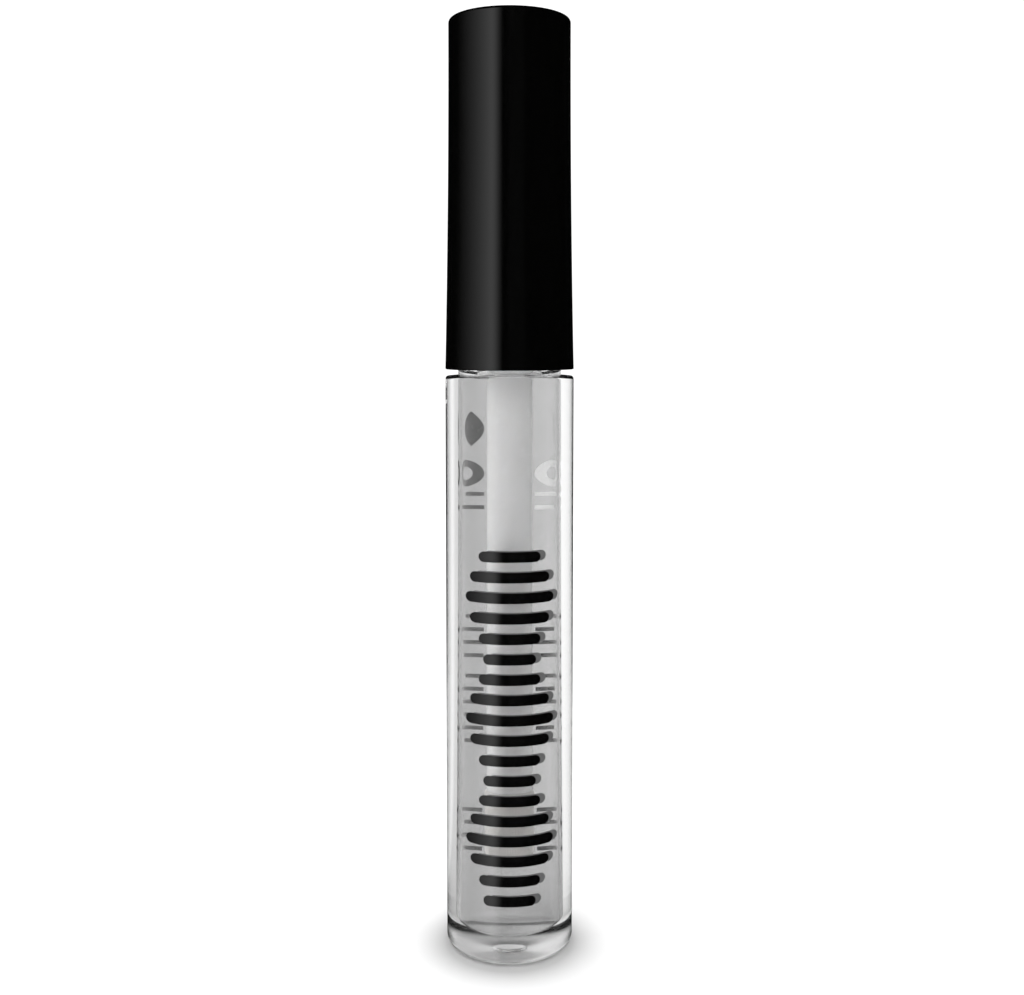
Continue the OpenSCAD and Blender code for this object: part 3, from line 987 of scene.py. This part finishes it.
def studio_world():
    """A studio whose light depends on direction and on how a ray reaches it."""
    world = bpy.data.worlds.new("studio")
    bpy.context.scene.world = world
    f = Finish(world)
    direction = f.node("ShaderNodeTexCoord", output="Generated")
    x, y, z = (f.node("ShaderNodeSeparateXYZ", values={0: direction}, output=i) for i in range(3))
    turn = f.turn(x, y)
    across = f.ease(turn, *BOX_START_DEG) * (1 - f.spread(turn, *BOX_FADE_DEG, 0.0, 1.0)) ** BOX_FADE_POWER
    softbox = across * f.ease(z, *BOX_FOOT) * (1 - f.ease(z, *BOX_HEAD))
    fill = f.ease(turn, *FILL_START_DEG) * (1 - f.ease(turn, *FILL_FADE_DEG)) * FILL_LIGHT
    around = light_around(f, x, y)
    to_camera, glossy, through, scattered = (
        f.node("ShaderNodeLightPath", output=name)
        for name in ("Is Camera Ray", "Is Glossy Ray", "Is Transmission Ray", "Diffuse Depth"))
    mirrored = glossy * (1 - through)
    inner = scattered > 0.5
    open_light = SIDE_LIGHT + f.ease(z, *TOP_RISE) * (TOP_LIGHT - SIDE_LIGHT) - x * SIDE_TILT
    seen_through = inner * (INNER_LIGHT - x * INNER_SIDE) + (1 - inner) * around
    bright = (to_camera * BACKDROP + mirrored * ((softbox + fill) * MIRRORED_LIGHT + DARK_LIGHT)
              + through * seen_through + (1 - to_camera - mirrored - through) * open_light)
    background = f.node("ShaderNodeBackground", values={"Color": grey(1.0), "Strength": bright})
    f.node("ShaderNodeOutputWorld", values={"Surface": background})
    # Sampled as a lamp, the world would light every kind of ray alike.
    world.cycles.sampling_method = "NONE"

studio_world()

# %% [markdown]
# The floor is pale paper. Where the vial stands it is painted darker, as paper is where an object
# keeps light from it: a painted contact shadow. Where the clear walls show it, it is painted darker,
# graded like the world's light, and for light scattered inside the vial it glows, a painted light.

# %% Lay the floor
FLOOR_GAP = 0.05 * MM
FLOOR_INNER_LIGHT = 1.6
CONTACT_FORWARD = 1 * MM
CONTACT_REACH = 6 * MM
CONTACT_SHADE = 0.42
UNDER_FOOT = (3 * MM, 7 * MM)

def floor_paper():
    """Paper with a painted contact shade that lies a little in front of the axis, painted darker where the
    walls show it, and a painted glow for light scattered inside the vial.
    """
    f = new_finish("floor_paper")
    fibre = f.noise(300, detail=4)
    spot = f.place()
    from_axis = f.node("ShaderNodeVectorMath", {"operation": "LENGTH"}, {0: spot}, output="Value")
    spot_x, spot_y = (f.node("ShaderNodeSeparateXYZ", values={0: spot}, output=i) for i in (0, 1))
    through, scattered = (f.node("ShaderNodeLightPath", output=name)
                          for name in ("Is Transmission Ray", "Diffuse Depth"))
    inner = scattered > 0.5
    shade_y = spot_y + CONTACT_FORWARD
    from_shade = (spot_x * spot_x + shade_y * shade_y) ** 0.5
    shade = (f.spread(from_shade, TUBE_R, TUBE_R + CONTACT_REACH, 1.0, 0.0) ** 2 * CONTACT_SHADE
             * f.ease(from_axis, *UNDER_FOOT))
    # Seen through the clear walls, the paper is painted darker by direction, graded like the world's
    # light.
    dimmed = through * (1 - inner) * (1 - light_around(f, spot_x, spot_y))
    paper = f.clouded(fibre, grey(0.955), grey(0.965))
    return f.surface(
        Base_Color=f.blend(shade * (1 - dimmed) + dimmed, paper, grey(0.0)),
        # For light scattered inside the vial the paper glows: painted light.
        Emission_Color=f.blend(through * inner, grey(0.0), grey(1.0)),
        Emission_Strength=FLOOR_INNER_LIGHT, Roughness=0.9, Specular_IOR_Level=0.0)

bpy.ops.object.select_all(action="DESELECT")
bpy.ops.mesh.primitive_plane_add(size=6, location=(0, 0, -FLOOR_GAP))
floor = bpy.context.object
floor.name = "floor"
floor.visible_glossy = False
floor.data.materials.append(floor_paper())

# %% [markdown]
# ## Camera
# The lens and its place give the view of a product shot from close by: slightly from above the
# middle, so that the base shows its round edge and the cap's top is just hidden.

# %% Place the camera
LENS = 43.9
DISTANCE = 156 * MM
EYE_Z = 77.5 * MM
TILT_DEG = 4.0
SHIFT = (0.0024, -0.0747)

lens = bpy.data.cameras.new("camera")
lens.lens = LENS
lens.sensor_width = 36
lens.shift_x, lens.shift_y = SHIFT
lens.clip_start = 0.005
camera = bpy.data.objects.new("camera", lens)
bpy.context.scene.collection.objects.link(camera)
camera.location = (0, -DISTANCE, EYE_Z)
camera.rotation_euler = (math.radians(90 - TILT_DEG), 0, 0)
bpy.context.scene.camera = camera
bpy.context.scene.view_settings.view_transform = "Standard"
